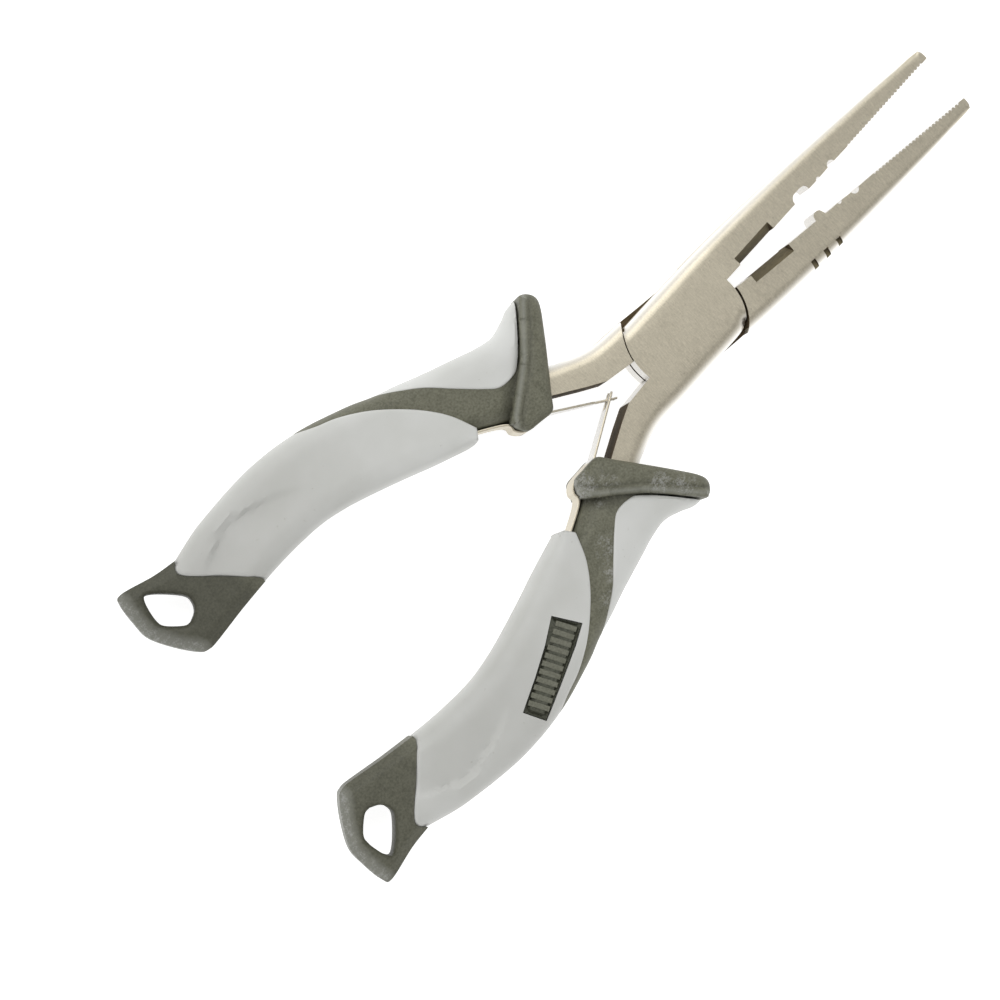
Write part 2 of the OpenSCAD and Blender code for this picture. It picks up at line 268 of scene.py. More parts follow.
def prism(outline, low, high, axes="xyz"):
    """A straight-sided solid. Its outline is drawn on the first two axes and raised on the third."""
    n = len(outline)
    order = [axes.index(axis) for axis in "xyz"]
    verts = np.array([(x, y, z) for z in (low, high) for x, y in outline], float)[:, order]
    faces = [tuple(range(n)), tuple(range(n, 2 * n))]
    faces += [(i, (i + 1) % n, (i + 1) % n + n, i + n) for i in range(n)]
    return solid("tool", verts, faces)


def carve(item, how, *tools):
    """Cuts tools out of an item, or joins them to it."""
    for tool in tools:
        change = item.modifiers.new("carve", "BOOLEAN")
        change.operation = how
        change.solver = "EXACT"
        change.material_mode = "TRANSFER" if item.data.materials else "INDEX"
        change.object = tool
        graph = bpy.context.evaluated_depsgraph_get()
        mesh = bpy.data.meshes.new_from_object(item.evaluated_get(graph))
        item.modifiers.remove(change)
        old = item.data
        item.data = mesh
        bpy.data.meshes.remove(old)
        bpy.data.objects.remove(tool)


def note(mesh, name, shares):
    """Keeps one number per vertex, for the finish to read."""
    mesh.attributes.new(name, "FLOAT", "POINT").data.foreach_set("value", shares.astype(float))


def finished(item, name, side, material, slot, *nodes, sharp=32):
    """Places a piece on its half, gives it its finish and lets it stand for its nodes."""
    item.name = item.data.name = name
    placed(item.data, side)
    if material.name not in item.data.materials:
        item.data.materials.append(material)
    item.data.shade_smooth()
    item.data.set_sharp_from_angle(angle=math.radians(sharp))
    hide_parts(*nodes)


class Value:
    """A socket of a shader that takes part in sums."""

    def __init__(self, finish, socket):
        self.finish, self.socket = finish, socket

    def math(self, operation, a, b):
        return self.finish.node("ShaderNodeMath", {"operation": operation}, {0: a, 1: b})

    def __add__(self, other):
        return self.math("ADD", self, other)

    def __sub__(self, other):
        return self.math("SUBTRACT", self, other)

    def __rsub__(self, other):
        return self.math("SUBTRACT", other, self)

    def __mul__(self, other):
        return self.math("MULTIPLY", self, other)

    __radd__, __rmul__ = __add__, __mul__


class Finish:
    """A procedural finish around one Principled shader."""

    def __init__(self, name, constants):
        self.material = bpy.data.materials.new(name)
        self.material.use_nodes = True
        self.tree = self.material.node_tree
        self.shader = self.tree.nodes["Principled BSDF"]
        for socket, value in constants.items():
            self.shader.inputs[socket].default_value = value
        self.place = self.node("ShaderNodeTexCoord", {}, {}, "Object")

    def node(self, kind, settings, sockets, output=0):
        """Any node: its settings are set first, then the values or links of its sockets."""
        made = self.tree.nodes.new(kind)
        for name, value in settings.items():
            setattr(made, name, value)
        for name, value in sockets.items():
            if isinstance(value, Value):
                self.tree.links.new(value.socket, made.inputs[name])
            else:
                made.inputs[name].default_value = value
        return Value(self, made.outputs[output])

    def noise(self, scale, detail=2.0, stretch=(1, 1, 1)):
        """Noise from 0 to 1, its scale in features per millimetre."""
        place = self.node("ShaderNodeMapping", {}, {"Vector": self.place, "Scale": stretch})
        return self.node("ShaderNodeTexNoise", {"noise_dimensions": "3D"},
                         {"Vector": place, "Scale": scale / MM, "Detail": detail})

    def share(self, name):
        """A piece's own attribute; 0 on a piece that has none of that name."""
        return self.node("ShaderNodeAttribute", {"attribute_name": name}, {}, "Fac")

    def ramp(self, value, low, high, to_low=0.0, to_high=1.0):
        """The value, its range from low to high stretched to another range."""
        return self.node("ShaderNodeMapRange", {"clamp": True}, {
            "Value": value, "From Min": low, "From Max": high, "To Min": to_low, "To Max": to_high})

    def mix(self, share, a, b):
        """A colour between two."""
        return self.node("ShaderNodeMix", {"data_type": "RGBA"}, {0: share, 6: a, 7: b}, 2)

    def bump(self, height, depth, strength=1.0):
        return self.node("ShaderNodeBump", {}, {
            "Height": height, "Distance": depth * MM, "Strength": strength})

    def wear(self, colour, roughness, normal):
        """Links what varies over the surface."""
        for name, value in (("Base Color", colour), ("Roughness", roughness), ("Normal", normal)):
            self.tree.links.new(value.socket, self.shader.inputs[name])
        return self.material


def satin_nickel(name, light, dark, grain_depth):
    """Plated steel with the fine cross grain that grinding leaves, a few dark specks, and a painted
    near-white highlight along its rolled outer edges.
    """
    finish = Finish(name, {"Metallic": 1.0})
    grain = finish.noise(1.0, 3.0, (6, 0.8, 6))
    speckle = finish.noise(3.6, 2.0)
    mottle = finish.noise(0.16, 3.0)
    specks = finish.ramp(finish.noise(1.7, 1.0), 0.73, 0.78)
    blotch = mottle * 0.12 + grain * 0.5 + speckle * 0.38
    tone = finish.mix(finish.ramp(blotch, 0.36, 0.64), dark, light)
    tone = finish.mix(specks * 0.3, tone, tuple(0.45 * c for c in dark[:3]) + (1,))
    # Painted highlight: near white where a piece marks its rolled outer edges.
    tone = finish.mix(finish.share("edge_glint"), tone, (0.95, 0.94, 0.92, 1))
    relief = grain * 0.5 + speckle * 0.5
    return finish.wear(tone, finish.ramp(relief, 0.3, 0.7, 0.36, 0.48),
                       finish.bump(relief, grain_depth, 0.5))


def milled(name, dark, light, metallic, rough, depth=0.02):
    """Milled or sheared walls, duller or brighter than the plated faces: the darker copies are painted
    shade, the brighter one a painted reflection of the white surroundings.
    """
    finish = Finish(name, {"Metallic": metallic, "Specular IOR Level": 0.08})
    marks = finish.noise(0.9, 4.0, (1, 1, 3))
    return finish.wear(finish.mix(finish.ramp(marks, 0.3, 0.7), dark, light),
                       finish.ramp(marks, 0.3, 0.7, rough, rough + 0.15),
                       finish.bump(marks, depth, 0.5))


nickel = satin_nickel("satin_nickel", (0.61, 0.56, 0.445, 1), (0.465, 0.425, 0.335, 1), 0.02)
# Painted shade: the dark walls and the cutter's bevels are darker copies of the steel.
painted_shade_wall = milled("painted_shade_wall", (0.06, 0.042, 0.022, 1), (0.115, 0.088, 0.053, 1), 0, 0.7)
cutter_shade_wall = milled("cutter_shade_wall", (0.15, 0.125, 0.075, 1), (0.24, 0.205, 0.13, 1), 0.3, 0.6)
# Painted reflection: a near-white copy of the steel for walls that face the white surroundings.
painted_glint_wall = milled("painted_glint_wall", (0.64, 0.625, 0.59, 1), (0.76, 0.745, 0.72, 1), 1, 0.22, 0.003)

jaw_l, joint_t, tip_t = 65.1, 10, 3.4
tang_r, lap_gap = 11.65, 0.06
bore_r, head_r = 3.22, 4.402
plate_r, shoulder_r = 10.3, 10.7
plate_a = 137.3
cutter_x, cutter_l, cutter_w = 14, 8.9, 1.8
anvil_x = 30.6
teeth_x, tooth_pitch, tooth_depth, plain_tip = 43, 0.8, 0.4, 1.2


def face(x):
    """The gripping face, which closes towards the tip."""
    return 0.3 - 0.26 * (x - plate_r) / (jaw_l - plate_r)


def gripping_face(side):
    """The inner edge of a jaw from the joint to the tip: anvil or its notch, two round crimping
    notches, then the teeth."""
    line = [(plate_r, face(plate_r))]
    if side == "a":
        anvil = [(-1.85, 0.2), (-1.75, 0.7), (-1.35, 1.25), (-0.8, 1.5),
                 (0.9, 1.5), (1.6, 1.3), (1.9, 0.9), (1.95, 0.2)]
    else:
        anvil = [(-1.2, 0.2), (-1.1, -0.55), (-0.8, -0.95), (-0.4, -1.1),
                 (0.2, -1.1), (0.6, -0.9), (0.9, -0.3), (1.1, 0.2)]
    line += [(anvil_x + dx, y) for dx, y in anvil]
    for x, r in ((35, 0.45), (38.6, 0.85)):
        line += arc(r, 172, 8, (x, 0.1), 10).tolist()
    for i in range(int((jaw_l - plain_tip - teeth_x) / tooth_pitch)):
        x = teeth_x + (i + 0.5) * tooth_pitch
        line += [(x - 0.3, face(x)), (x, tooth_depth), (x + 0.3, face(x))]
    return straight(line + [(jaw_l - 0.05, 0.05)], 0.4)


jaw_back = curve([(jaw_l - 0.05, 0.05), (jaw_l, 0.35), (jaw_l, 1.35), (64.8, 1.95), (64.2, 2.25),
                  (56, 3.4), (48, 4.35), (40, 5.25), (30, 6.25), (20, 7.05), (10, 7.6), (0, 7.8),
                  (-8.56, 7.9)])
lap_edge = arc(tang_r, plate_a, 185.4)
tang_inner = straight([(-11.6, -1.1), (-17.5, -1.4), (-20.9, -2.85), (-30, -7.1)])
tang_end = straight([(-30, -7.1), (-62.9, -17.3), (-62.9, -22.9), (-30, -13.1)], 1.0)
tang_back = curve([(-30, -13.1), (-24, -10), (-21, -8.9), (-18, -8), (-14.9, -7.6), (-10, -7.8),
                   (-4, -7.8), (5, -7.8), (7.53, -7.02)])
plate_edge = arc(plate_r, -43, 0)


def steel_top(points):
    """Half the steel's thickness: flat at the joint, thin at the tip, its outer edges rolled."""
    x = points[:, 0]
    z = np.interp(x, (-34, -30, 12, jaw_l), (2.5, joint_t / 2, joint_t / 2, tip_t / 2))
    soft = np.interp(x, (-30, 0, 30, jaw_l), (2.2, 2.3, 1.7, 0.8))
    outer = np.minimum(away(points, jaw_back[8:]), away(points, tang_back))
    crisp = np.minimum(away(points, lap_edge), away(points, tang_inner))
    return z - roll(outer, soft) * 0.8 - roll(crisp, 0.04)


def lap_room():
    """Room for the other half's plate, below the middle plane."""
    room = loop(arc(shoulder_r, -90, 90, steps=48), arc(tang_r + 0.2, 90, 270, steps=48))
    return prism(room, -joint_t, -lap_gap / 2)


def cutter_room():
    """The two bevels of the side cutter."""
    bevel = [(-1, 0.2), (0.04, 0.3), (cutter_w, joint_t / 2 - 0.6), (cutter_w, 8), (-1, 8)]
    ends = (cutter_x, cutter_x + cutter_l)
    return [prism([(y, s * z) for y, z in bevel], *ends, axes="yzx") for s in (1, -1)]


def rivet_room():
    """The bore and its two countersinks."""
    half = [(0, 8), (head_r, 8), (head_r, joint_t / 2), (bore_r, 3.8)]
    profile = [(r, -z) for r, z in half] + half[::-1]
    n = 96
    verts, faces = [], []
    for k in range(n):
        angle = 2 * math.pi * k / n
        verts += [(r * math.cos(angle), r * math.sin(angle), z) for r, z in profile]
        for i in range(len(profile) - 1):
            a, b = k * len(profile) + i, (k + 1) % n * len(profile) + i
            faces.append((a, b, b + 1, a + 1))
    return solid("tool", verts, faces)


# Each nick's start along the jaw, its depth from the centre line, and the height it is cut up to.
NICKS = [(24 + 3.05 * i, 5.1 - 0.1 * i, -3.1 + 0.2 * i) for i in range(3)]
nick_w, slack = 1, 0.02
STEEL_RINGS = (0.04, 0.12, 0.25, 0.45, 0.75, 1.1, 1.5, 1.9, 2.3)
# DARK and CUTTER faces carry painted shade, BRIGHT faces a painted reflection of the white
# surroundings.
PLATED, DARK, CUTTER, BRIGHT = range(4)


def wall_kind(face_, nicks):
    """Which finish a face has: plated, or one of the three kinds of bare wall, two in painted shade and
    one with a painted reflection.
    """
    x, y, z = face_.center
    radius = math.hypot(x, y)
    upright = abs(face_.normal.z) < 0.5
    if any(n - slack < x < n + nick_w + slack and z < top + slack and y > low - slack
           for n, low, top in nicks):
        return DARK if upright else CUTTER
    if cutter_x - slack < x < cutter_x + cutter_l + slack and 0.1 < y < cutter_w + 0.05:
        if abs(face_.normal.x) > 0.7:
            return DARK
        if abs(face_.normal.z) < 0.99:
            return CUTTER
    if not upright:
        return DARK if abs(z) < 0.6 and radius < 12.6 and abs(y) < 6.9 else PLATED
    if x > 12 and y < 1.7:
        return BRIGHT
    if away(np.array([(x, y)]), tang_inner)[0] < 0.2:
        return DARK if x < -17.3 else BRIGHT
    if abs(radius - tang_r) < 0.45 and x < 0 and y > -6.9:
        return BRIGHT if -2 < y < 3 and abs(radius - tang_r) < 0.1 else DARK
    return DARK if abs(radius - shoulder_r) < 0.5 and x > 0 and abs(y) < 6.9 else PLATED


for side in SIDES:
    outline = loop(gripping_face(side), jaw_back, lap_edge, tang_inner, tang_end, tang_back, plate_edge)
    half = moulding("half", outline, steel_top, STEEL_RINGS, 1.2)
    nicks = NICKS if side == "b" else []
    seam = loop(arc(tang_r + 0.6, 165, 185.9), arc(tang_r - 0.35, 185.9, 165))
    carve(half, "DIFFERENCE", lap_room(), *cutter_room(), rivet_room(), prism(seam, -1, 0.55),
          *(prism([(x, y), (x + nick_w, y), (x + nick_w, 9), (x, 9)], -9, z) for x, y, z in nicks))
    # Bare walls and lap floors take painted shade, and some walls a painted reflection, in place of the
    # plating.
    kinds = [wall_kind(face_, nicks) for face_ in half.data.polygons]
    plan = np.array([tuple(v.co)[:2] for v in half.data.vertices])
    # Painted highlight: near white on the rolled outer edges, fading inwards, narrower towards the tip.
    edge = np.minimum(away(plan, jaw_back), away(plan, tang_back))
    reach = np.interp(plan[:, 0], (20, 42, 60, 63), (1.5, 1.0, 0.4, 0.001))
    edge_glint = np.where(edge < 0.02, 0.12, np.clip(1 - edge / reach, 0, 1)**1.4)
    note(half.data, "edge_glint", edge_glint)
    finished(half, "forged_half_" + side, side, nickel, "jaw_steel", "jaw_half_" + side)
    for wall in (painted_shade_wall, cutter_shade_wall, painted_glint_wall):
        half.data.materials.append(wall)
    half.data.polygons.foreach_set("material_index", kinds)
    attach(half, "half_" + side)

rivet = frame["nodes"]["pivot_rivet"]
rivet.data.materials.clear()
rivet.data.materials.append(nickel)


# ---------------------------------------------------------------- Grey grip mouldings
# A tough grey-green moulding is shot round each tang: a finger guard with rolled edges, the neck,
# the swoosh between the white panels, a hidden web under them, and the tail with its lanyard eye.
def grip_rubber():
    """Fine matt texture, rubbed pale where hands wear it, with painted shade in its hollows and over
    the tail, a painted highlight on the guard's rear bead, and wear with a painted highlight on the
    tail's end.
    """
    finish = Finish("grey_moulding", {"Specular IOR Level": 0.35})
    mottle = finish.noise(0.5, 4.0)
    pits = finish.noise(2.6, 3.0)
    tone = finish.mix(finish.ramp(mottle * 0.3 + pits * 0.7, 0.36, 0.64),
                      (0.088, 0.088, 0.060, 1), (0.155, 0.154, 0.111, 1))
    # Painted shade: near black in the hollows by the guard and over the tail.
    tone = finish.mix(finish.share("hollow") * 0.55, tone, (0.02, 0.02, 0.014, 1))
    # Lighter on the guard's rear bead as a painted highlight, and on the tail's end as wear with a
    # painted highlight.
    tone = finish.mix(finish.share("wear_and_highlight") * 0.5, tone, (0.28, 0.285, 0.255, 1))
    rubbed = finish.share("rubbed")
    wear = finish.noise(0.8, 8.0, (1, 1.5, 1)) * 0.5 + finish.noise(3.4, 3.0) * 0.5
    scuff = finish.ramp(wear + 0.16 * rubbed, 0.56, 0.70) * finish.ramp(rubbed, 0.0, 0.6, 0.06, 1)
    tone = finish.mix(scuff * 0.42, tone, (0.42, 0.42, 0.41, 1))
    return finish.wear(tone, finish.ramp(pits, 0.3, 0.7, 0.46, 0.66), finish.bump(pits, 0.07, 0.6))


rubber = grip_rubber()

outer_side = curve([(-20.3, -22.4), (-22.5, -22), (-24.5, -21), (-27.7, -19.9), (-31.3, -20.2),
                    (-34.7, -21), (-41.4, -22.6), (-46.5, -24), (-50.5, -24.9), (-54.1, -26.1),
                    (-58, -27.1), (-62, -28), (-65.5, -28.5), (-70, -28.8), (-75, -28.7),
                    (-80, -28.1), (-85, -27.2), (-89, -26.3), (-94.6, -24.4)])
inner_side = curve([(-41.5, -7.65), (-42.3, -7.4), (-43.5, -7.5), (-49.5, -8.9), (-55, -10.4),
                    (-61.5, -12), (-66, -12.9), (-70.8, -13.4), (-75.8, -13.2), (-80.5, -12.7),
                    (-84.9, -12)])
neck_side = curve([(-31, -4.4), (-35.2, -6.6), (-38, -7.95), (-40.6, -9.2)])
thumb_edge = curve([(-20.9, -21.3), (-23.3, -17.5), (-27.1, -13.7), (-29.8, -12.4), (-32.9, -12.3),
                    (-35.5, -14), (-39, -16.9), (-43, -20.3), (-47.2, -23), (-50.5, -24.9)])
main_edge = curve([(-65.5, -28.5), (-61.8, -27), (-57.9, -25.8), (-53.3, -23.5), (-49.2, -20.6),
                   (-45.6, -17.4), (-42.7, -13.9), (-40.7, -10), (-40.4, -9.4)])
tail_edge = curve([(-84.9, -12), (-85.6, -13.3), (-90.4, -17.5), (-94.9, -21.2), (-95.7, -22.8),
                   (-94.6, -24.4)])
tail_side = curve([(-84.9, -12), (-91, -10.8), (-97.5, -9.3), (-99.5, -9.1), (-100.9, -9.7),
                   (-103.6, -12.8), (-106.2, -17), (-106.6, -20.5), (-106.4, -24.6),
                   (-105.2, -25.75), (-99, -24.7), (-94.6, -24.4)])
guard_ring = curve([(-31, -3.25), (-28.8, -3.25), (-27.9, -3.7), (-27.3, -4.6), (-26.1, -6.5),
                    (-23.5, -10.4), (-20.5, -15), (-18.4, -18.4), (-17.85, -20.3), (-18.65, -21.8),
                    (-20.1, -22.4), (-21.1, -21.4), (-27.1, -13.9), (-34.8, -6.9), (-35.15, -5.9),
                    (-34.6, -4.4), (-33.6, -3.35), (-31, -3.25)])[:-1]
web_ring = [(-33, -8.4), (-41, -9.6), (-50.5, -13.3), (-55, -14.6), (-66, -16.2), (-78, -16.2),
            (-89.5, -13.4), (-94.5, -18.2), (-96.5, -22.6), (-82, -25), (-68, -25.6), (-55, -23),
            (-43, -18.6), (-33, -16.6), (-26, -17.6), (-25, -14)]
eye_ring = curve([(-98.9, -14.7), (-97.3, -15.7), (-96.6, -17.3), (-97, -18.9), (-99.8, -21.6),
                  (-101.9, -23), (-102.7, -22.6), (-103.2, -20.9), (-103.4, -18.6), (-102.9, -17),
                  (-100.3, -14.9), (-98.9, -14.7)], 0.25)[:-1]
web_t = 8.4


def body_half(x):
    """Half the thickness of the grip along its length."""
    return np.interp(x, (-108, -96, -86, -76, -60, -45, -36), (3.9, 5.0, 6.1, 6.65, 6.65, 6.4, 6.2))


def crown(distance, reach=4.4, power=3.1):
    """The rounded side of the grip: 0 on the silhouette, 1 where its face begins."""
    near = np.clip(1 - distance / reach, 0, 1)
    return (1 - near**power)**(1 / power)


guard_rear = straight([(-20.1, -22.4), (-21.1, -21.4), (-27.1, -13.9), (-34.8, -6.9),
                       (-35.15, -5.9)])


def guard_top(points):
    """Flat on top, rolled wide in front and narrow at the rear."""
    full = np.interp(points[:, 0], (-27, -22, -18), (7.2, 6.9, 6.1))
    rear = away(points, guard_rear)
    rim = away(points, closed(guard_ring))
    groove = 0.3 * np.clip(1 - abs(rear - 1.7) / 0.8, 0, 1)**2
    return full - groove - np.where(rear < rim + 0.05, roll(rim, 0.9), roll(rim, 2.3) * 0.85)


def neck_top(points):
    """The neck and the swoosh, hollowed where they run up to the guard."""
    silhouette = np.minimum(away(points, outer_side), away(points, neck_side))
    cove = 0.75 * np.clip(1 - away(points, guard_rear) / 3.4, 0, 1)**1.5
    return (body_half(points[:, 0]) - 0.35 - cove) * crown(silhouette)


def tail_top(points):
    """Flat in the middle, with a worn chamfer round the end and a soft dip round the eye."""
    end = 1.3 * np.clip(1 - away(points, tail_side) / 1.8, 0, 1)
    dip = 0.9 * np.clip(1 - away(points, closed(eye_ring)) / 0.95, 0, 1)**2
    return np.interp(points[:, 0], (-107, -96, -84), (4.05, 4.8, 5.7)) - end - dip


RINGS = (0.02, 0.07, 0.16, 0.32, 0.55, 0.9, 1.4, 2.1, 3.0, 4.2)
GUARD_RINGS = (0.03, 0.1, 0.22, 0.4, 0.65, 0.95, 1.3, 1.7, 2.1)
TAIL_RINGS = (0.1, 0.3, 0.6, 0.9, 1.3, 1.7, 1.95)

# The strip's bed: along the inner side of the neck and round the inner tip of the guard.
strip_root = [(-50.5, -13.05), (-41, -9.05), (-35.75, -6.5), (-35.3, -4.9), (-34.2, -3.8),
              (-32.6, -3.45), (-28.75, -3.45)]


def offset(line, d):
    """A sampled line moved sideways, to its left."""
    run = np.gradient(line, axis=0)
    return line + d * np.column_stack([-run[:, 1], run[:, 0]]) / np.linalg.norm(run, axis=1)[:, None]


def strip_bed():
    path = np.vstack([curve(strip_root, 0.6), [(-26, -3.45)]])
    return prism(loop(offset(path, 1.6), offset(path, -0.26)[::-1]), -3.75, 3.75)


def mark_wear_and_painted_light(mesh, side):
    """Notes where the moulding is rubbed pale, where painted shade goes in its hollows and over the
    tail, and where a painted highlight goes on the guard's rear bead and, with wear, on the tail's end.
    """
    spots = np.array([tuple(v.co) for v in mesh.vertices])
    plan, x, z = spots[:, :2], spots[:, 0], np.abs(spots[:, 2])
    rear = away(plan, guard_rear)
    on_guard = inside(plan, [loop(guard_ring)])

    def patch(place, reach):
        return np.clip(1 - np.linalg.norm(plan - place, axis=1) / reach, 0, 1)

    end = away(plan, straight([(-100.9, -9.7), (-103.6, -12.8), (-106.2, -17), (-106.6, -20.5),
                               (-106.4, -24.6)]))
    rubbed = 0.6 * np.clip(1 - end / 1.9, 0, 1)**0.5
    # Painted highlight on the guard's rear bead, and wear with a painted highlight on the tail's end.
    wear_and_highlight = np.maximum(on_guard * np.clip(1 - abs(rear - 0.7) / 0.65, 0, 1),
                        np.clip(1 - end / 2.3, 0, 1)**0.5)
    if side == "a":
        rubbed = np.maximum(rubbed, 1.1 * patch((-34.2, -4.6), 3.4)**0.6)
        for place, reach, much in (((-30.6, -7.6), 2.6, 0.6), ((-24.2, -14.6), 2.6, 0.9),
                                   ((-21.6, -18.0), 2.8, 0.8), ((-38, -15.4), 3.4, 0.75),
                                   ((-41, -18.6), 3.2, 0.7), ((-45, -22), 3.2, 0.6),
                                   ((-34, -8.9), 2.2, 0.5)):
            rubbed = np.maximum(rubbed, much * patch(place, reach)**0.6)
    # Painted shade: a line on the guard, the cove of the neck behind it, the tail, and most on the
    # tail's thin end.
    hollow = np.where(on_guard, 0.5 * np.clip(1 - abs(rear - 1.8) / 0.6, 0, 1),
                      np.clip(1 - rear / 2.2, 0, 1))
    hollow = np.maximum(hollow, (0.65 if side == "a" else 1) * np.clip((-84 - x) / 5, 0, 1))
    hollow = np.maximum(hollow, (x < -90) * (z < 3.4) * 0.8)
    for name, share in (("rubbed", rubbed), ("hollow", hollow), ("wear_and_highlight", wear_and_highlight)):
        note(mesh, name, share)


for side in SIDES:
    outline = loop(neck_side, main_edge[::-1], part(outer_side, (-65.5, -28.5), (-50.5, -24.9)),
                   part(thumb_edge, (-50.5, -24.9), (-27.5, -14)),
                   straight([(-24.5, -13), (-27, -8)], 1))
    grip = moulding("grip", outline, neck_top, RINGS, 0.6)
    guard = moulding("guard", loop(guard_ring), guard_top, GUARD_RINGS, 0.6)
    tail = moulding("tail", loop(tail_side, tail_edge[::-1]), tail_top, TAIL_RINGS, 0.7,
                    [loop(eye_ring)])
    carve(grip, "UNION", guard, prism(web_ring, -web_t / 2, web_t / 2), tail)
    carve(grip, "DIFFERENCE", strip_bed())
    mark_wear_and_painted_light(grip.data, side)
    finished(grip, "grip_moulding_" + side, side, rubber, "grip_grey", "grip_core_" + side)
    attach(grip, "half_" + side)


# ---------------------------------------------------------------- White panels
# Two hard white panels are moulded over the grey: a long one on the belly of the grip, with a
# shallow dish near the tail for the little finger, and a small one behind the guard for the thumb.
def white_plastic():
    """Matt white with a whisper of texture, faint cloudiness, a few specks of dirt, and darker over the
    tail half of the panel.
    """
    finish = Finish("white_panel", {"Specular IOR Level": 0.4})
    cloud = finish.noise(0.09, 3.0)
    fine = finish.noise(4.0, 2.0)
    dirt = finish.ramp(finish.noise(1.3, 1.5), 0.745, 0.79)
    tone = finish.mix(finish.ramp(cloud, 0.35, 0.65), (0.52, 0.525, 0.50, 1), (0.57, 0.575, 0.555, 1))
    # Darker over the tail half of the panel, by a share set along its length.
    tone = finish.mix(finish.share("tail_dark_share") * 0.3, tone, (0.22, 0.215, 0.19, 1))
    tone = finish.mix(dirt * 0.4, tone, (0.32, 0.31, 0.27, 1))
    return finish.wear(tone, finish.ramp(fine, 0.3, 0.7, 0.42, 0.54), finish.bump(fine, 0.012, 0.5))


white = white_plastic()
inlay_low = 5.0
dish_edge = curve([(-70, -20.8), (-74.6, -22.7), (-79.5, -23.7), (-84, -24), (-87, -22.9),
                   (-90.8, -21), (-94, -18.6)])
badge_ring = [(-54, -15.8), (-51.3, -20.6), (-54.9, -22.3), (-61.4, -24.8), (-67.8, -27.2),
              (-69.5, -23.2), (-63.7, -20.8), (-58.5, -18.4)]
pad_gap = 0.35
front_cut = straight([(-40.4, -9.4), (-41.5, -7.65)])


def dish(points):
    """Depth of the shallow dish, which ends in a soft step on its outer and tail side."""
    edge = away(points, dish_edge)
    hollow = inside(points, [loop(dish_edge, [(-93, -12), (-84, -9), (-70, -9)])])
    ends = np.clip((-70 - points[:, 0]) / 9, 0, 1) * np.clip((points[:, 0] + 92.5) / 4, 0, 1)
    step = np.clip(edge / 0.9, 0, 1)
    return 0.95 * ends * np.where(hollow, step**2 * (3 - 2 * step) * np.exp(-(edge / 5)**2), 0)


def main_top(points):
    """Full on its face, with a soft line along the inner side where the side band begins."""
    x = points[:, 0]
    inner = away(points, inner_side[4:])
    reach = np.interp(x, (-60, -46, -42), (4.4, 3.2, 1.6))
    rounded = np.minimum(crown(away(points, outer_side)), crown(inner / reach * 4.4))
    band = 0.16 * np.exp(-((inner - 2.1) / 0.45)**2) * np.interp(x, (-92, -86, -50, -44), (0, 1, 1, 0))
    edges = (roll(away(points, main_edge), 0.35) + roll(away(points, front_cut), 0.45)
             + roll(away(points, tail_edge), 0.7))
    return body_half(x) * rounded - band - edges - dish(points)


def thumb_top(points):
    """Rounded to the outer side, and sunk in a narrow groove behind the guard."""
    full = np.interp(points[:, 0], (-45, -34, -24), (6.3, 6.1, 5.9))
    groove = 0.9 * np.clip(1 - away(points, guard_rear) / 1.3, 0, 1)**2
    return (full * crown(away(points, outer_side), 5.2, 2.6) - roll(away(points, thumb_edge), 0.3)
            - groove)


for side in SIDES:
    outline = loop(front_cut, inner_side, tail_edge,
                   part(outer_side, (-94.6, -24.4), (-65.5, -28.5)), main_edge)
    panel = moulding("panel", outline, main_top, RINGS, 0.6)
    recess = offset(closed(straight(badge_ring, 1)), 0.05)[:-1]
    carve(panel, "DIFFERENCE", prism(web_ring, -web_t / 2, web_t / 2),
          prism(loop(recess), inlay_low, 9))
    x = np.array([v.co.x for v in panel.data.vertices])
    # How much darker the panel is along its length, for each half, heaviest in its tail half.
    tailward_darkening = np.interp(x, (-92, -68, -52), (0.65, 1, 0.3) if side == "a" else (1.3, 0.55, 0))
    note(panel.data, "tail_dark_share", tailward_darkening)
    finished(panel, "belly_panel_" + side, side, white, "grip_white", "main_panel_" + side)
    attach(panel, "half_" + side)

    outline = loop(part(outer_side, (-20.3, -22.4), (-50.5, -24.9)), thumb_edge[::-1])
    pad = moulding("pad", outline, thumb_top, RINGS, 0.6)
    carve(pad, "DIFFERENCE", prism(web_ring, -web_t / 2, web_t / 2),
          prism(loop(offset(closed(guard_ring), pad_gap)[:-1]), -9, 9))
    finished(pad, "thumb_pad_" + side, side, white, "grip_white", "thumb_panel_" + side)
    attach(pad, "half_" + side)


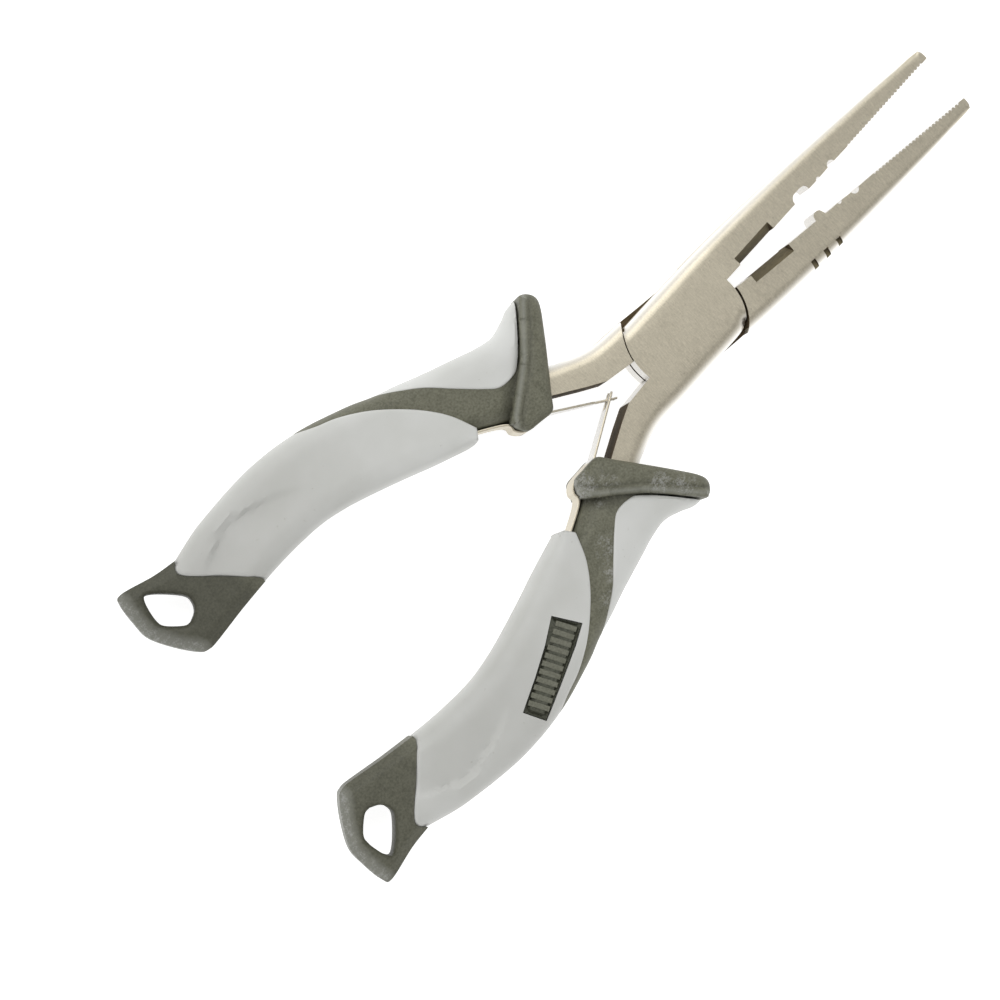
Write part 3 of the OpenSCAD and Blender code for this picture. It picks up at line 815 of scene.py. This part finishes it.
# ---------------------------------------------------------------- Badge inlays
# A grey inlay is let into one face of each belly panel, down in a narrow groove. Plain raised ribs
# cross it from side to side.
def ribs_tree(material):
    """Geometry Nodes: rounded bars side by side along a line, half sunk in the plane they lie on."""
    tree = bpy.data.node_groups.new("ribs", "GeometryNodeTree")
    names = {}
    for name, kind in (("Geometry", "NodeSocketGeometry"), ("Count", "NodeSocketInt"),
                       ("Length", "NodeSocketFloat"), ("Width", "NodeSocketFloat"),
                       ("Height", "NodeSocketFloat"), ("Round", "NodeSocketFloat"),
                       ("First", "NodeSocketVector"), ("Pitch", "NodeSocketVector"),
                       ("Along", "NodeSocketVector")):
        names[name] = tree.interface.new_socket(name, in_out="INPUT", socket_type=kind).identifier
    tree.interface.new_socket("Geometry", in_out="OUTPUT", socket_type="NodeSocketGeometry")

    def node(kind, settings, sockets):
        made = tree.nodes.new(kind)
        for name, value in settings.items():
            setattr(made, name, value)
        for name, value in sockets.items():
            if isinstance(value, bpy.types.NodeSocket):
                tree.links.new(value, made.inputs[name])
            else:
                made.inputs[name].default_value = value
        return made.outputs[0]

    given = tree.nodes.new("NodeGroupInput").outputs
    line = node("GeometryNodeMeshLine", {"mode": "OFFSET"},
                {"Count": given["Count"], "Start Location": given["First"], "Offset": given["Pitch"]})
    bar = node("GeometryNodeCurvePrimitiveLine", {"mode": "DIRECTION"},
               {"Direction": given["Along"], "Length": given["Length"]})
    block = node("GeometryNodeCurvePrimitiveQuadrilateral", {},
                 {"Width": given["Width"], "Height": given["Height"]})
    ring = node("GeometryNodeFilletCurve", {"mode": "POLY"},
                {"Curve": block, "Count": 3, "Radius": given["Round"], "Limit Radius": True})
    rib = node("GeometryNodeCurveToMesh", {}, {"Curve": bar, "Profile Curve": ring, "Fill Caps": True})
    ribs = node("GeometryNodeInstanceOnPoints", {}, {"Points": line, "Instance": rib})
    real = node("GeometryNodeRealizeInstances", {}, {"Geometry": ribs})
    done = node("GeometryNodeSetMaterial", {}, {"Geometry": real, "Material": material})
    tree.links.new(done, tree.nodes.new("NodeGroupOutput").inputs[0])
    return tree, names


def inlay_grey(name, dark, light):
    """The same moulding as the grip, with a finer grain, in two copies: a darker one in the sunk field
    as painted shade, a paler one on the raised ribs as a painted highlight.
    """
    finish = Finish(name, {"Specular IOR Level": 0.3})
    grain = finish.noise(3.0, 3.0)
    tone = finish.mix(finish.ramp(grain, 0.35, 0.65), dark, light)
    return finish.wear(tone, finish.ramp(grain, 0.3, 0.7, 0.5, 0.66), finish.bump(grain, 0.03, 0.6))


# Painted shade: the sunk field is a darker copy of the moulding.
inlay = inlay_grey("inlay_grey", (0.045, 0.047, 0.033, 1), (0.085, 0.088, 0.066, 1))
inlay_ring = offset(closed(straight(badge_ring, 1)), -0.12)[:-1]
inlay_sunk, groove_w, groove_d = 0.35, 0.4, 0.55
# Painted highlight: the raised ribs are a paler copy of the moulding.
rib_grey = inlay_grey("rib_grey", (0.11, 0.112, 0.083, 1), (0.16, 0.16, 0.125, 1))
rib_tree, rib_inputs = ribs_tree(rib_grey)
rib_count, rib_l, rib_w, rib_t, rib_round = 11, 3.8, 0.95, 0.7, 0.16
rib_first = Vector((-54.35, -17.15, 6.14))
rib_last = Vector((-67.6, -22.75, 6.22))


def inlay_top(points):
    """Sunk a little below the panel's face, with a deeper groove just inside its edge."""
    edge = away(points, closed(inlay_ring))
    groove = groove_d * np.clip(1 - abs(edge - groove_w) / groove_w, 0, 1)
    return main_top(points) - inlay_sunk - groove


for side in SIDES:
    ribs = solid("ribs", [(0, 0, 0)], [])
    modifier = ribs.modifiers.new("ribs", "NODES")
    modifier.node_group = rib_tree
    for name, value in (("Count", rib_count), ("Length", rib_l), ("Width", rib_w),
                        ("Height", rib_t), ("Round", rib_round), ("First", rib_first),
                        ("Pitch", (rib_last - rib_first) / (rib_count - 1)),
                        ("Along", Vector((2.1, -4.5, -0.3)).normalized())):
        modifier[rib_inputs[name]] = value
    graph = bpy.context.evaluated_depsgraph_get()
    bars = bpy.data.objects.new("bars", bpy.data.meshes.new_from_object(ribs.evaluated_get(graph)))
    bpy.context.scene.collection.objects.link(bars)
    bpy.data.objects.remove(ribs)
    plug = moulding("plug", loop(inlay_ring), inlay_top, (0.2, 0.4, 0.6, 0.8), 0.7)
    carve(plug, "DIFFERENCE", prism(loop(offset(closed(inlay_ring), 1)[:-1]), -9, inlay_low))
    plug.data.materials.append(inlay)
    carve(plug, "UNION", bars)
    finished(plug, "badge_inlay_" + side, side, inlay, "badge_grey", "badge_" + side)
    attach(plug, "half_" + side)


# ---------------------------------------------------------------- Leaf springs
# A blanked and bent strip of spring steel on each half, held by a small rivet under the belly panel.
# It lies along the neck, goes round the guard's inner tip, and its free blade reaches the middle,
# where the barred tongue of one strip slides in the fork of the other.
spring_steel = satin_nickel("spring_steel", (0.66, 0.60, 0.48, 1), (0.55, 0.50, 0.395, 1), 0.006)

strip_t, strip_w, strip_tip_w = 0.4, 7, 4.2
blade_l, fork_l, over_l = 10.9, 3.2, 1.4
tongue_w, tongue_clear, bar_w = 1.6, 0.35, 3.8
flex = np.array([-28.4, -3.45])
drop = -(flex[0] * math.sin(half_open) + flex[1] * math.cos(half_open))
blade_turn = math.asin(drop / blade_l) - half_open
blade_run = np.array([math.cos(blade_turn), math.sin(blade_turn)])
spring_line = curve(strip_root + [flex] + [flex + blade_run * s for s in (0.6, 4, 8, 13)], 0.2)
spring_s = np.concatenate([[0], np.cumsum(np.linalg.norm(np.diff(spring_line, axis=0), axis=1))])
flex_s = spring_s[int(np.argmin(np.linalg.norm(spring_line - flex, axis=1)))]


def blank(side):
    """Outline of the flat strip: along it, and across it."""
    tip = flex_s + blade_l + over_l
    half_w, half_tip = strip_w / 2, strip_tip_w / 2
    if side == "a":
        slot = tongue_w / 2 + tongue_clear
        end = [(tip, half_tip), (tip, slot), (tip - fork_l, slot), (tip - fork_l, 0)]
    else:
        neck, tongue = tip - fork_l - 0.8, tongue_w / 2
        end = [(neck, half_tip), (neck, tongue), (tip - 0.4, tongue), (tip - 0.4, bar_w / 2),
               (tip, bar_w / 2), (tip, 0)]
    upper = [(0, 0), (0, half_w), (flex_s, half_w)] + end
    return loop(straight(upper + [(s, -w) for s, w in upper[-2::-1]], 0.4))


def bend(item):
    """Folds the flat strip along its line."""
    run = np.gradient(spring_line, axis=0)
    run /= np.linalg.norm(run, axis=1)[:, None]
    for vert in item.data.vertices:
        s, across, lift = vert.co
        x, y, tx, ty = (np.interp(s, spring_s, column) for column in (*spring_line.T, *run.T))
        vert.co = (x + ty * lift, y - tx * lift, across)


for side in SIDES:
    outline = blank(side)
    strip = moulding("strip", outline,
                     lambda p, edge=closed(outline): strip_t / 2 - roll(away(p, edge), 0.08),
                     (0.02, 0.08), 0.4)
    bend(strip)
    # The strip's broad faces past the flex take the painted reflection of the white surroundings.
    broad = [int(abs(f.normal.z) < 0.6 and f.center.x > flex[0] - 1) for f in strip.data.polygons]
    finished(strip, "leaf_spring_" + side, side, spring_steel, "spring_steel",
             "spring_root_" + side, "spring_blade_" + side)
    strip.data.materials.append(painted_glint_wall)
    strip.data.polygons.foreach_set("material_index", broad)
    ends = bpy.data.meshes.new("ends")
    ends.from_pydata([(*flex - (0.5, 0), 0), (*flex + 0.5 * blade_run, 0)], [], [])
    placed(ends, side)
    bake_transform(strip)
    peg = frame["nodes"]["spring_rivet_" + side]
    peg.data.materials.clear()
    peg.data.materials.append(spring_steel)
